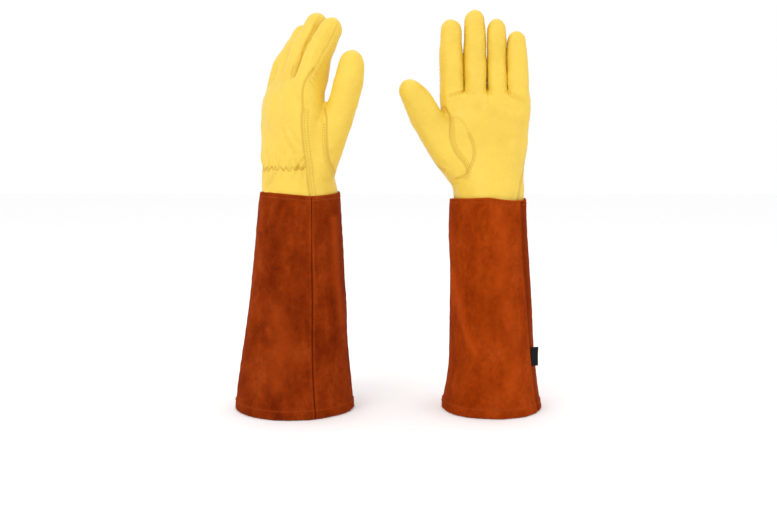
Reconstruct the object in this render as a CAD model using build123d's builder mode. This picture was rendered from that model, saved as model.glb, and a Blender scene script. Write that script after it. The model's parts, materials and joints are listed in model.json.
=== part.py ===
from build123d import *
import math
import os

# A pair of long-cuffed leather gardening gloves, standing on their hems, in millimetres and degrees.
# Glove A shows its back and thumb edge to the front (-Y), glove B its palm.
# In each glove's own frame the thumb is at -x, the palm faces -y and the fingers point up.

os.makedirs("parts", exist_ok=True)

# Leather and suede
LEATHER = 1.2                 # wall of the hand, the fingers and the thumb
SUEDE = 1.4                   # wall of the gauntlet
HEM_WALL = 2.6                # the turned-up hem is two layers thick
HEM_HEIGHT = 12.0

# Seams of the gauntlet, as angles about the glove's own axis
THUMB_SEAM = 159.0
LITTLE_SEAM = -27.0

# Panels of a finger, as arcs about the finger's axis
FACE_ARC = 110.0              # front and back panels
SIDE_ARC = 180.0 - FACE_ARC   # side walls

# Whole ranges from straight: bending towards the palm, and back
KNUCKLE_BEND, KNUCKLE_BACK = 60.0, 10.0
MIDDLE_BEND, MIDDLE_BACK = 75.0, 0.0
THUMB_BEND, THUMB_BACK = 35.0, 12.0
THUMB_TIP_BEND, THUMB_TIP_BACK = 55.0, 0.0
WRIST_BEND, WRIST_BACK = 20.0, 35.0

# Room left for the folds
FOLD_MARGIN = 1.5             # degrees on each side of a fold
FOLD_GAP = 0.25               # half the gap left where two segments meet
FOLD_EYE = 2.6                # radius of the round relief on each hinge line
FOLD_REACH = 25.0             # half size of the cutting prism, which clears a finger or a thumb
REACH = 70.0                  # clears half a glove

# Hand
HAND_TOP = 344.0              # closed web between the fingers
STUB_ROOT = 12.0              # how far a finger's stub starts below the web
WRIST_Z = 250.0               # height of the wrist's hinge line
ELASTIC = (264.0, 8.0, 1.0)   # height, width and thickness of the wrist elastic
ELASTIC_GAP = 0.4
ELASTIC_EDGE = 6.0            # it ends this far behind the hand's middle plane
PATCH_WALL = 1.0
PATCH_INNER_EDGE = ((-19.0, 268.0), (-11.0, 290.0), (-22.0, 315.0))
PATCH_OUTER_EDGE = ((-22.0, 315.0), (-33.0, 290.0), (-19.0, 268.0))

# Thumb: base x, y, z, sideways lean, tilt to the palm, lower length, upper length and three radii
# Thumb root, inside the hand: x, y, z, lean, tilt and radius
# Finger: base x, y, z, sideways lean, knuckle bend and middle bend at rest,
# lower length, upper length, radius at the base, at the middle and at the tip
GLOVES = {
    "glove_a": {
        "place": (-102.0, 0.0),
        "yaw": 125.0,
        "gauntlet": [(0, -5, 0, 133, 128), (60, -4, 0, 117, 112), (130, -2, 0, 106, 100),
                     (190, 0, 0, 95, 92), (236, 1.2, 0, 89, 88)],
        "hand": [(232, 0, 0, 76, 76), (262, 0, 2, 82, 76), (290, 0, 5, 90, 62),
                 (320, 0, 6, 98, 52), (344, 0, 6, 98, 44)],
        "fingers": {
            "index": (-37.0, 3.0, 354, -1.5, 12, 10, 40, 40, 12.0, 12.6, 10.6),
            "middle": (-10.5, 9.0, 356, -1.5, 12, 12, 44, 44, 12.0, 12.6, 10.6),
            "ring": (13.6, 9.0, 354, -1.0, 13, 12, 41, 40, 10.8, 10.8, 9.6),
            "little": (36.4, 6.0, 351, 0.0, 14, 12, 36, 37, 10.8, 11.2, 9.2),
        },
        "thumb": (-60.9, -21.4, 340, -16.0, 1.0, 26, 34, 16.4, 15.0, 12.0),
        "thumb_root": (-26.0, -10.0, 264, -24.5, 8.0, 20.0),
    },
    "glove_b": {
        "place": (108.0, 0.0),
        "yaw": 0.0,
        "gauntlet": [(0, 9, 0, 113, 118), (60, 8, 0, 98, 108), (130, 7, 0, 90, 98),
                     (190, 5, 0, 86, 90), (232, 2.4, 0, 85, 86)],
        "hand": [(228, 2.6, 0, 74, 70), (262, 2.6, 0, 79, 66), (290, 0, 0, 90, 52),
                 (320, 0, 0, 98, 46), (344, 0, 0, 98, 42)],
        "fingers": {
            "index": (-37.5, 0.0, 354, -1.5, 0, 0, 40, 39, 12.0, 12.6, 10.6),
            "middle": (-10.8, 0.0, 356, -1.5, 0, 0, 44, 43, 12.0, 12.6, 10.6),
            "ring": (13.6, 0.0, 354, -1.0, 0, 0, 41, 38, 10.8, 10.8, 9.6),
            "little": (36.4, 0.0, 351, -1.0, 0, 0, 36, 34, 10.8, 11.2, 9.2),
        },
        "thumb": (-62.5, -11.0, 319, -30.0, 22.0, 29, 35, 16.5, 15.5, 11.5),
        "thumb_root": (-20.0, -2.0, 268, -38.0, 6.0, 20.0),
    },
}

# Blank woven tag in glove B's little-finger seam
TAG_WIDTH, TAG_HEIGHT, TAG_THICK = 12.0, 21.0, 0.9
TAG_AT = (163.6, -24.5, 52.0)
TAG_TURN = 20.0


def turned(at=(0, 0, 0), x=0.0, y=0.0, z=0.0):
    """A place turned about z, then about y, then about x."""
    place = Location(at) * Location((0, 0, 0), (0, 0, z))
    return place * Location((0, 0, 0), (0, y, 0)) * Location((0, 0, 0), (x, 0, 0))


def glove_place(glove):
    x, y = glove["place"]
    return turned((x, y, 0), z=glove["yaw"])


def finger_places(glove, finger):
    """The stub, the lower segment and the upper segment of a finger, each with z along it."""
    x, y, z, lean, knuckle, middle, lower = glove["fingers"][finger][:7]
    stub = glove_place(glove) * turned((x, y, z), y=lean)
    low = stub * turned(x=knuckle)
    return stub, low, low * turned((0, 0, lower), x=middle)


def thumb_places(glove):
    x, y, z, lean, tilt, lower = glove["thumb"][:6]
    low = glove_place(glove) * turned((x, y, z), x=tilt, y=lean)
    return low, low * turned((0, 0, lower))


def ellipse_stack(place, sections, inset, low=None, high=None, mode=Mode.ADD):
    """Ruled loft through the sections, cut to the heights low and high and drawn in by inset."""
    heights = [section[0] for section in sections]
    low = heights[0] if low is None else low
    high = heights[-1] if high is None else high
    rings = []
    for height in [low] + [h for h in heights if low < h < high] + [high]:
        x, y, width, depth = section_at(sections, height)
        with BuildSketch(Plane(place * Location((x, y, height)))) as ring:
            Ellipse(width / 2 - inset, depth / 2 - inset)
        rings.append(ring.sketch)
    loft(rings, ruled=True, mode=mode)


def section_at(sections, height):
    """Centre, width and depth at a height, in line with the two nearest sections."""
    below = max((s for s in sections if s[0] <= height), default=sections[0])
    above = min((s for s in sections if s[0] >= height), default=sections[-1])
    if below[0] == above[0]:
        return below[1:]
    if height < sections[0][0]:
        below, above = sections[0], sections[1]
    part = (height - below[0]) / (above[0] - below[0])
    return tuple(b + (a - b) * part for b, a in zip(below[1:], above[1:]))


def fold_cut(place, bend, back, upward):
    """Cuts a segment's end to a V on its hinge line, so that it can bend and straighten."""
    sign = 1 if upward else -1
    palm_rise = FOLD_REACH * math.tan(math.radians(bend / 2 + FOLD_MARGIN)) + FOLD_GAP
    back_rise = FOLD_REACH * math.tan(math.radians(back / 2 + FOLD_MARGIN)) + FOLD_GAP
    outline = [(-FOLD_REACH, -sign * FOLD_REACH), (-FOLD_REACH, sign * palm_rise),
               (0, sign * FOLD_GAP), (FOLD_REACH, sign * back_rise),
               (FOLD_REACH, -sign * FOLD_REACH)]
    with BuildSketch(Plane(place * turned(z=90, x=90))) as notch:
        Polygon(*outline, align=None)
        Circle(FOLD_EYE)
    extrude(notch.sketch, amount=FOLD_REACH, both=True, mode=Mode.SUBTRACT)


def turned_wall(place, start, arc, outline):
    """Revolves a closed outline of radius and height about the place's z, from an angle."""
    with BuildSketch(Plane(place * turned(z=start, x=90))) as profile:
        with BuildLine():
            outline()
        make_face()
    revolve(profile.sketch, axis=z_axis(place), revolution_arc=arc)


def z_axis(place):
    plane = Plane(place)
    return Axis(plane.origin, plane.z_dir)


def cone_outline(low_radius, high_radius, length, wall):
    def draw():
        Polyline((low_radius - wall, 0), (low_radius, 0), (high_radius, length),
                 (high_radius - wall, length), close=True)
    return draw


def dome_outline(low_radius, tip_radius, length, wall):
    def draw():
        shoulder = length - tip_radius
        Line((low_radius - wall, 0), (low_radius, 0))
        Line((low_radius, 0), (tip_radius, shoulder))
        CenterArc((0, shoulder), tip_radius, 0, 90)
        Line((0, length), (0, length - wall))
        CenterArc((0, shoulder), tip_radius - wall, 0, 90)
        Line((tip_radius - wall, shoulder), (low_radius - wall, 0))
    return draw


def hand_block(glove):
    """The closed hand with its four finger stubs, hollow and open at the wrist and at the thumb."""
    place = glove_place(glove)
    wrist = glove["hand"][0][0]
    ellipse_stack(place, glove["hand"], 0)
    for finger in glove["fingers"]:
        stub_tube(glove, finger, 0, Mode.ADD)
    ellipse_stack(place, glove["hand"], LEATHER, wrist, HAND_TOP - LEATHER, Mode.SUBTRACT)
    for finger in glove["fingers"]:
        stub_tube(glove, finger, LEATHER, Mode.SUBTRACT)
        stub = finger_places(glove, finger)[0]
        fold_cut(stub, KNUCKLE_BEND, KNUCKLE_BACK, upward=False)
    thumb_cone(glove, 0, Mode.SUBTRACT)


def stub_tube(glove, finger, inset, mode):
    stub = finger_places(glove, finger)[0]
    radius = glove["fingers"][finger][8]
    with BuildSketch(Plane(stub * Location((0, 0, -STUB_ROOT)))) as tube:
        Circle(radius - inset)
    extrude(tube.sketch, amount=STUB_ROOT, mode=mode)


def thumb_cone(glove, inset, mode):
    """The cone from inside the hand up to the thumb's hinge line."""
    x, y, z, lean, tilt, root_radius = glove["thumb_root"]
    root = glove_place(glove) * turned((x, y, z), x=tilt, y=lean)
    rings = []
    for place, radius in ((root, root_radius), (thumb_places(glove)[0], glove["thumb"][7])):
        with BuildSketch(Plane(place)) as ring:
            Circle(radius - inset)
        rings.append(ring.sketch)
    loft(rings, ruled=True, mode=mode)


def keep_half(place, palm):
    keep = Keep.BOTTOM if palm else Keep.TOP
    split(bisect_by=Plane(place * turned(x=-90)), keep=keep)


def gauntlet_sector(glove, mode):
    """A prism over the palm side of the gauntlet, between its two seams."""
    x, y = glove["place"]
    across = glove["gauntlet"][2][1]
    arc = (THUMB_SEAM - LITTLE_SEAM) - 360.0
    spokes = [LITTLE_SEAM + arc * i / 4 for i in range(5)]
    rim = [(3 * REACH * math.cos(math.radians(a + glove["yaw"])),
            3 * REACH * math.sin(math.radians(a + glove["yaw"]))) for a in spokes]
    with BuildSketch(Plane((x + across, y, -1))) as sector:
        Polygon((0, 0), *rim, align=None)
    extrude(sector.sketch, amount=WRIST_Z + 1, mode=mode)


def gauntlet_block(glove):
    x, y = glove["place"]
    place = Location((x, y, 0))
    sections = glove["gauntlet"]
    ellipse_stack(place, sections, 0)
    ellipse_stack(place, sections, HEM_WALL, high=HEM_HEIGHT, mode=Mode.SUBTRACT)
    ellipse_stack(place, sections, SUEDE, low=HEM_HEIGHT, mode=Mode.SUBTRACT)


def save(part, name):
    part.label = name
    export_step(part, f"parts/{name}.step")


for name, glove in GLOVES.items():
    place = glove_place(glove)

    # Gauntlet, two panels of suede with a turned-up hem
    with BuildPart() as gauntlet_front:
        gauntlet_block(glove)
        gauntlet_sector(glove, Mode.INTERSECT)
    save(gauntlet_front.part, f"{name}_gauntlet_front")

    with BuildPart() as gauntlet_back:
        gauntlet_block(glove)
        gauntlet_sector(glove, Mode.SUBTRACT)
    save(gauntlet_back.part, f"{name}_gauntlet_back")

    # Hand, two panels of leather that meet along the edges of the hand
    with BuildPart() as palm_panel:
        hand_block(glove)
        keep_half(place, palm=True)
    save(palm_panel.part, f"{name}_palm_panel")

    with BuildPart() as back_panel:
        hand_block(glove)
        keep_half(place, palm=False)
    save(back_panel.part, f"{name}_back_panel")

    # Elastic sewn inside the back of the wrist
    with BuildPart() as wrist_elastic:
        low, tall, thick = ELASTIC
        inset = LEATHER + ELASTIC_GAP
        ellipse_stack(place, glove["hand"], inset, low, low + tall)
        ellipse_stack(place, glove["hand"], inset + thick, low, low + tall, Mode.SUBTRACT)
        split(bisect_by=Plane(place * turned((0, ELASTIC_EDGE, 0), x=-90)), keep=Keep.TOP)
    save(wrist_elastic.part, f"{name}_wrist_elastic")

    # Leaf-shaped patch sewn over the ball of the thumb
    with BuildPart() as thumb_patch:
        ellipse_stack(place, glove["hand"], -PATCH_WALL)
        ellipse_stack(place, glove["hand"], 0, mode=Mode.SUBTRACT)
        with BuildSketch(Plane(place * turned(x=90))):
            with BuildLine():
                ThreePointArc(*PATCH_INNER_EDGE)
                ThreePointArc(*PATCH_OUTER_EDGE)
            make_face()
        extrude(amount=REACH, mode=Mode.INTERSECT)
        thumb_cone(glove, -PATCH_WALL / 2, Mode.SUBTRACT)
    save(thumb_patch.part, f"{name}_thumb_patch")

    # Thumb, a gusset set into the hand and two segments
    thumb_low, thumb_high = thumb_places(glove)
    low_length, high_length, base_radius, bend_radius, tip_radius = glove["thumb"][5:]

    with BuildPart() as thumb_gusset:
        thumb_cone(glove, 0, Mode.ADD)
        thumb_cone(glove, LEATHER, Mode.SUBTRACT)
        ellipse_stack(place, glove["hand"], LEATHER, mode=Mode.SUBTRACT)
        fold_cut(thumb_low, THUMB_BEND, THUMB_BACK, upward=False)
    save(thumb_gusset.part, f"{name}_thumb_gusset")

    with BuildPart() as thumb_lower:
        turned_wall(thumb_low, 0, 360, cone_outline(base_radius, bend_radius, low_length, LEATHER))
        fold_cut(thumb_low, THUMB_BEND, THUMB_BACK, upward=True)
        fold_cut(thumb_high, THUMB_TIP_BEND, THUMB_TIP_BACK, upward=False)
    save(thumb_lower.part, f"{name}_thumb_lower")

    with BuildPart() as thumb_tip:
        turned_wall(thumb_high, 0, 360, dome_outline(bend_radius, tip_radius, high_length, LEATHER))
        fold_cut(thumb_high, THUMB_TIP_BEND, THUMB_TIP_BACK, upward=True)
    save(thumb_tip.part, f"{name}_thumb_tip")

    # Fingers: front, back and side walls below the middle joint, front and back above it
    for finger, sizes in glove["fingers"].items():
        stub, low, high = finger_places(glove, finger)
        low_length, high_length, base_radius, bend_radius, tip_radius = sizes[6:]
        lower_outline = cone_outline(base_radius, bend_radius, low_length, LEATHER)
        upper_outline = dome_outline(bend_radius, tip_radius, high_length, LEATHER)

        for side, middle_angle in (("front", -90), ("back", 90)):
            with BuildPart() as lower_panel:
                turned_wall(low, middle_angle - FACE_ARC / 2, FACE_ARC, lower_outline)
                fold_cut(low, KNUCKLE_BEND, KNUCKLE_BACK, upward=True)
                fold_cut(high, MIDDLE_BEND, MIDDLE_BACK, upward=False)
            save(lower_panel.part, f"{name}_{finger}_lower_{side}")

            with BuildPart() as tip_panel:
                turned_wall(high, middle_angle - 90, 180, upper_outline)
                fold_cut(high, MIDDLE_BEND, MIDDLE_BACK, upward=True)
            save(tip_panel.part, f"{name}_{finger}_tip_{side}")

        with BuildPart() as sidewalls:
            for middle_angle in (0, 180):
                turned_wall(low, middle_angle - SIDE_ARC / 2, SIDE_ARC, lower_outline)
            fold_cut(low, KNUCKLE_BEND, KNUCKLE_BACK, upward=True)
            fold_cut(high, MIDDLE_BEND, MIDDLE_BACK, upward=False)
        save(sidewalls.part, f"{name}_{finger}_sidewalls")

# Blank tag, sewn into glove B's seam
with BuildPart() as blank_tag:
    glove = GLOVES["glove_b"]
    with BuildSketch(Plane(turned(TAG_AT, z=TAG_TURN))):
        Rectangle(TAG_WIDTH, TAG_THICK)
    extrude(amount=TAG_HEIGHT)
    ellipse_stack(Location((*glove["place"], 0)), glove["gauntlet"], 0, mode=Mode.SUBTRACT)
save(blank_tag.part, "glove_b_blank_tag")
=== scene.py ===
import json
import math

import bpy
import numpy as np
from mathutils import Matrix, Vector
from mathutils.bvhtree import BVHTree
from mathutils.kdtree import KDTree


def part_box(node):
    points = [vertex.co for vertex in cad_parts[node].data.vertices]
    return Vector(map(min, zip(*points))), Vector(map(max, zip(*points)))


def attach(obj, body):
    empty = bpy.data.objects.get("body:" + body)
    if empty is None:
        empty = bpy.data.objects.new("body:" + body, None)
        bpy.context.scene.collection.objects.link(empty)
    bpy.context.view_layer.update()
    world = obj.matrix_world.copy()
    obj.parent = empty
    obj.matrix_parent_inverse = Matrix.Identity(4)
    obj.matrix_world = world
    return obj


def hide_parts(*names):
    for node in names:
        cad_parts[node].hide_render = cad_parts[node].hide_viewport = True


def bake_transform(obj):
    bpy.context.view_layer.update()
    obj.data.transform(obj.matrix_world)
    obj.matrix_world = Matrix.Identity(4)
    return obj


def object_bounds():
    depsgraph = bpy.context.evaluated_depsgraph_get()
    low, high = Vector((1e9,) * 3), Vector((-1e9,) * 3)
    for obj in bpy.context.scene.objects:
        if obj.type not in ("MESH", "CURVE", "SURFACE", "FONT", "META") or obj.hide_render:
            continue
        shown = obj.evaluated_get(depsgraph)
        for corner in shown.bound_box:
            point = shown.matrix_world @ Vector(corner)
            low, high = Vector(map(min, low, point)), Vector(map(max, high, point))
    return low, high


# A pair of leather gardening gloves with long suede cuffs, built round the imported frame.
# Shapes are worked out in millimetres in each glove's own frame: thumb at -x, palm at -y,
# fingers up, hem at z 0. Blender's objects are in metres in the row frame.

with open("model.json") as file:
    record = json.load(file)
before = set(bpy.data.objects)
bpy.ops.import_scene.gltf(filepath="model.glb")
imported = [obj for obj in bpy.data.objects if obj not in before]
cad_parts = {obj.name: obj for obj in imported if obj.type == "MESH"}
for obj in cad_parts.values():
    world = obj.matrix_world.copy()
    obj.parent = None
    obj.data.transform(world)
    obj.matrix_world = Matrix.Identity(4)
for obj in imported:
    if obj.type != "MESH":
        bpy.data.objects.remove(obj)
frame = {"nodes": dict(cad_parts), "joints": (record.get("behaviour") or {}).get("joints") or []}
CAD_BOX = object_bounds()
JOINTS = {joint["name"]: joint for joint in frame["joints"]}
MM = 0.001

# ---- dimensions
LEATHER = 1.2                     # thickness of the leather
SUEDE = 1.5                       # thickness of the suede
VOXEL = 1.0
FINGERS = ("index", "middle", "ring", "little")

OPEN_BELOW = 217.0                # the leather's open lower edge, inside the cuff
WRIST_FOLD = (232.0, 258.0)       # span of a fold at the wrist, in height; no piece is bent by it
WEB_SLOPE = 0.5                   # the web between the fingers is higher on the back
WEB_HEIGHT = 360.0                # height of the web, straight above the wrist's hinge
WEB_SPLIT = 357.0                 # below this height the fingers' poses run into each other
FINGER_CUT = 6.0                  # the fingers' own leather starts here
MIDDLE_FOLD = (-7.6, 10.0)        # span of a fold at a finger's middle joint, from the hinge; no piece is bent by it
TIP_CUT = -9.0                    # its tip's leather starts here, from the same hinge
THUMB_CUT = 1.0                   # the thumb's own leather starts here, from its base
THUMB_FOLD = (6.0, 18.0)          # span of a fold at its base; no piece is bent by it
THUMB_MIDDLE_FOLD = (-7.0, 9.0)   # and of one at its joint, from that hinge; no piece is bent by it
THUMB_TIP_CUT = -8.0              # its tip's leather starts here, from that hinge
THUMB_FREE = 337.0                # above this height the thumb is clear of the palm
SIDE_STRIP = 24.0                 # half width of a finger's side strip, in degrees
RING_STEP = 3.0                   # distance between the rings of a form
DOME = 1.15                       # length of a rounded end, against its half width

# While it is built, a hand has straight, spread fingers: x of the base and lean in degrees
SPREAD = {"index": (-39.6, -4.0), "middle": (-11.9, -1.3), "ring": (14.9, 1.6),
          "little": (39.6, 4.4)}
FINGER_ROOT = 28.0                # how far a finger's form starts below its knuckle
FINGER_REACH = (-24.0, 8.0)       # a knuckle's bend at rest sets in over this much of the finger
MIDDLE_REACH = (-13.0, 13.0)      # and the middle joint's over this much, from its hinge
FINGER_BOW = 3.0                  # the tips curve this much towards the palm

SIDE_SEAM = [(22, 374), (18, 365), (14.5, 352), (12, 340), (10, 321), (10.6, 305), (12.5, 285),
             (14.8, 267), (16.5, 250), (18, 238), (19, 222)]

# Hand: height, centre x, centre y, width, depth and squareness.
# Fingers: half width at the base, the middle joint and the tip, how much deeper than wide it
# is, how far it stands from its hinge towards the little finger and back, how much further than
# its CAD solids it bends at the knuckle and leans, in degrees, and how much longer it is.
# Thumb: root, half widths across and through it, at the root, between, base, joint and tip.
# Seams are drawn on the surface as seen from a direction: across and up, in millimetres.
GLOVES = {
    "glove_a": {
        "wrist": (0.0, 1.2),
        # Span of the knuckle's fold: from this far above it to this far below the middle joint; no piece is
        # bent by it
        "knuckle_fold": (10.5, 13.0),
        "fingers": {"index": (12.2, 12.8, 11.6, 6.2, (0.5, 2.0), 3.5, 0, 4.0),
                    "middle": (12.2, 12.4, 10.0, 2.6, (0, 0), 2, 0, 3.0),
                    "ring": (10.9, 11.0, 9.8, 3.0, (-1, -.5), 0, 0, 0),
                    "little": (11.0, 11.4, 9.4, 2.6, (-2, -1.2), 0, 0, 0)},
        "hand": [(214, -1.6, -2.2, 81, 80, 2.0), (240, -1.8, -2.6, 85, 84.5, 2.0),
                 (264, -1.2, .2, 83.5, 77.5, 2.05), (290, -.4, 4.3, 90, 63, 2.15),
                 (320, .8, 6, 97.4, 52, 2.3), (344, 2.8, 6, 93.5, 40, 2.5), (360, .4, 6.6, 97, 30.5, 2.6)],
        "thumb_root": (-26.0, -10.0, 267.0),
        "thumb_girth": [(19.5, 19.0), (19.6, 18.2), (15.2, 15.8), (15.2, 14.9), (11.0, 10.5)],
        "thumb_bow": 2.0,
        "thumb_trim": 3.0,                # the tip is this much shorter than its CAD solid
        # How far its base, joint and tip stand from the CAD's, sideways and back
        "thumb_shift": [(-.6, -.8), (-1.6, -2.3), (-.6, -.8)],
        "palm_groove": [(-49, 337), (-45, 328), (-43.5, 318), (-43, 303), (-41, 294),
                        (-36, 284), (-29, 276), (-25.5, 270), (-25, 265), (-30, 260.5), (-35, 259)],
        "side_groove": [(33.5, 334), (35, 327), (36, 316), (36.2, 301), (37, 288), (39, 277),
                        (42, 270), (43, 264), (42, 259)],
    },
    "glove_b": {
        "wrist": (2.6, 0.0),
        "knuckle_fold": (6.8, 18.5),
        "fingers": {"index": (13.1, 12.9, 10.9, 2.4, (-.5, 0), 0, 0, 0),
                    "middle": (12.8, 12.4, 10.7, 2.2, (-1, 0), 0, 0, 0),
                    "ring": (11.2, 10.6, 9.5, 2.6, (-1.9, 0), 0, 0, 0),
                    "little": (12.3, 12.3, 9.9, 1.8, (-1.5, 0), 0, -1.0, 0)},
        "hand": [(214, 3.8, 0, 75.8, 75, 2.0), (242, 4, 0, 78.8, 77, 2.0),
                 (262, 1.6, 0, 80.8, 68, 2.05), (290, 0, 0, 91, 54, 2.2),
                 (320, -.2, 0, 95.6, 46, 2.35), (344, 2.3, 0, 92, 38.5, 2.5), (360, 1.6, 0, 94, 29.5, 2.6)],
        "thumb_root": (-21.0, -3.0, 264.0),
        "thumb_girth": [(21.0, 19.0), (20.8, 18.0), (18.0, 16.8), (15.8, 15.2), (10.6, 11.0)],
        "thumb_bow": 3.0,
        "thumb_trim": 9.8,
        "thumb_shift": [(0, 0), (0, 0), (-3.6, 0)],
        "palm_groove": [(-46.5, 337), (-41.5, 328), (-40.2, 318), (-40.3, 303), (-38.3, 295),
                        (-33.4, 285.6), (-26.2, 276.4), (-23.4, 271), (-23, 265), (-29, 260.5),
                        (-34, 259)],
        "side_groove": [(31, 337), (34, 329), (36, 318), (37, 301), (38, 288), (39, 277),
                        (40, 270), (41, 264), (40, 259)],
    },
}

# Directions from which seams and creases are drawn, in a glove's own frame
FROM_PALM = ((1.0, 0.0), (0.0, 1.0))
FROM_SIDE = ((-0.574, -0.819), (0.819, -0.574))     # across, and away from the eye
FROM_BACK = ((-1.0, 0.0), (0.0, -1.0))
FROM_LITTLE = ((0.0, 1.0), (-1.0, 0.0))


# ---- small maths
def ease(value, low=0.0, high=1.0):
    """0 below low, 1 above high, and a smooth step between them."""
    part = np.clip((value - low) / (high - low), 0.0, 1.0)
    return part * part * (3.0 - 2.0 * part)


def bell(distance, width):
    return np.exp(-(distance / width) ** 2)


def unit(vectors):
    length = np.linalg.norm(vectors, axis=-1, keepdims=True)
    return vectors / np.maximum(length, 1e-9)


def swung(points, pivot, axis, angles):
    """Points turned about an axis through a pivot, each by its own angle in radians."""
    axis = unit(np.array(axis, float))
    arm = points - pivot
    cosine = np.cos(angles)[:, None]
    along = axis * (arm @ axis)[:, None]
    return pivot + arm * cosine + np.cross(axis, arm) * np.sin(angles)[:, None] + along * (1 - cosine)


def through(keys, at):
    """Smooth curve through keys at the places at. A key is its place and then its values."""
    keys = np.array(keys, float)
    at = np.atleast_1d(np.array(at, float))
    place, value = keys[:, 0], keys[:, 1:]
    slope = np.gradient(value, place, axis=0)
    low = np.clip(np.searchsorted(place, at) - 1, 0, len(place) - 2)
    step = (place[low + 1] - place[low])[:, None]
    t = np.clip((at - place[low])[:, None] / step, 0, 1)
    return ((2 * t**3 - 3 * t**2 + 1) * value[low] + (t**3 - 2 * t**2 + t) * step * slope[low]
            + (3 * t**2 - 2 * t**3) * value[low + 1] + (t**3 - t**2) * step * slope[low + 1])


def reach_along(points):
    """How far along a polyline each of its points is."""
    return np.concatenate([[0], np.cumsum(np.linalg.norm(np.diff(points, axis=0), axis=1))])


def spaced(points, step):
    """Points of a polyline, evenly spaced."""
    points = np.array(points, float)
    reach = reach_along(points)
    count = max(2, int(round(reach[-1] / step)) + 1)
    at = np.linspace(0, reach[-1], count)
    return np.stack([np.interp(at, reach, column) for column in points.T], 1)


def smooth_line(points, step):
    """Evenly spaced points of a smooth curve through a few points."""
    points = np.array(points, float)
    reach = reach_along(points)
    fine = np.linspace(0, reach[-1], max(8, int(reach[-1] / step) * 2))
    return spaced(through(np.column_stack([reach, points]), fine), step)


def ripple(points, seed, size, count=14):
    """Smooth random height, mostly between -1 and 1, made of plane waves of about this size."""
    random = np.random.default_rng(seed)
    ways = unit(random.normal(size=(count, 3)))
    ways *= (2 * math.pi / (size * random.uniform(0.75, 1.4, count)))[:, None]
    phases = random.uniform(0, 2 * math.pi, count)
    return np.sin(points @ ways.T + phases).sum(1) / math.sqrt(2 * count) * 1.4


def squircle(half_width, half_depth, power, count):
    """Closed ring of a rounded outline; power 2 is an ellipse, and more is squarer."""
    angle = np.linspace(0, 2 * math.pi, count, endpoint=False)
    cosine, sine = np.cos(angle), np.sin(angle)
    reach = (np.abs(cosine) ** power + np.abs(sine) ** power) ** (-1 / power)
    return np.stack([half_width * reach * cosine, half_depth * reach * sine], 1)


# ---- meshes
def mesh_of(name, points, faces):
    mesh = bpy.data.meshes.new(name)
    mesh.from_pydata([tuple(p) for p in points], [], [list(f) for f in faces])
    mesh.update()
    return mesh


def quad_mesh(name, points, faces):
    """Mesh made quickly from arrays of points and of four-cornered faces."""
    mesh = bpy.data.meshes.new(name)
    mesh.vertices.add(len(points))
    mesh.vertices.foreach_set("co", np.asarray(points, np.float32).ravel())
    mesh.loops.add(faces.size)
    mesh.loops.foreach_set("vertex_index", np.asarray(faces, np.int32).ravel())
    mesh.polygons.add(len(faces))
    mesh.polygons.foreach_set("loop_start", np.arange(0, faces.size, 4, dtype=np.int32))
    mesh.update(calc_edges=True)
    mesh.validate()
    return mesh


def shown(name, mesh, *materials):
    piece = bpy.data.objects.new(name, mesh)
    bpy.context.scene.collection.objects.link(piece)
    for material in materials:
        mesh.materials.append(material)
    return piece


def smoothed(mesh):
    mesh.polygons.foreach_set("use_smooth", np.ones(len(mesh.polygons), bool))
    return mesh


def made(name, mesh, rest, material, slot, painted_shade=None, **marks):
    """A piece with a material. Its mesh keeps each point's own place, in millimetres, and marks."""
    places = mesh.attributes.new("rest", "FLOAT_VECTOR", "POINT")
    places.data.foreach_set("vector", np.asarray(rest, np.float32).ravel())
    marks = {"painted_shade": np.zeros(len(rest)) if painted_shade is None else painted_shade, **marks}
    for mark, values in marks.items():
        kept = mesh.attributes.new(mark, "FLOAT", "POINT")
        kept.data.foreach_set("value", np.asarray(values, np.float32).ravel())
    piece = shown(name, mesh, MATERIALS[material])
    return piece


def sides_of(quads):
    """The two ends of every side of every face."""
    return np.concatenate([quads[:, [k, (k + 1) % 4]] for k in range(4)])


def grid(rows, wide):
    """Four-cornered faces over points that are laid out in rows."""
    cell = (np.arange(rows - 1)[:, None] * wide + np.arange(wide - 1)[None, :]).ravel()
    return np.stack([cell, cell + 1, cell + wide + 1, cell + wide], 1)


def closed_sheet(quads, count):
    """Faces of a sheet with a front, a back whose points come count later, and a rim."""
    sides = sides_of(quads)
    keys = sides[:, 0] * count + sides[:, 1]
    rim = sides[~np.isin(keys, sides[:, 1] * count + sides[:, 0])]
    walls = np.stack([rim[:, 1], rim[:, 0], rim[:, 0] + count, rim[:, 1] + count], 1)
    return np.concatenate([quads, quads[:, ::-1] + count, walls]), walls


def domed(start, length, dome):
    """Places along a form with a rounded end: even steps, then closer ones over the dome."""
    even = np.arange(start, length - dome, RING_STEP)
    return np.concatenate([even, length - dome + dome * np.sin(np.linspace(0, math.pi / 2 - 0.04, 12))])


def closing(place, length, dome):
    """How wide a form still is over its rounded end."""
    rise = max(0.0, (place - (length - dome)) / dome)
    return max(0.03, (1 - rise ** 2.3)) ** 0.5


def lofted(rings):
    """Points and faces of a closed form through rings of equally many points."""
    rings = np.array(rings)
    layers, count = rings.shape[:2]
    here = np.arange(count)
    after = (here + 1) % count
    faces = []
    for layer in range(layers - 1):
        low, high = layer * count, (layer + 1) * count
        faces += np.stack([low + here, low + after, high + after, high + here], 1).tolist()
    faces.append(here[::-1].tolist())
    faces.append((here + (layers - 1) * count).tolist())
    return rings.reshape(-1, 3), faces


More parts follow.
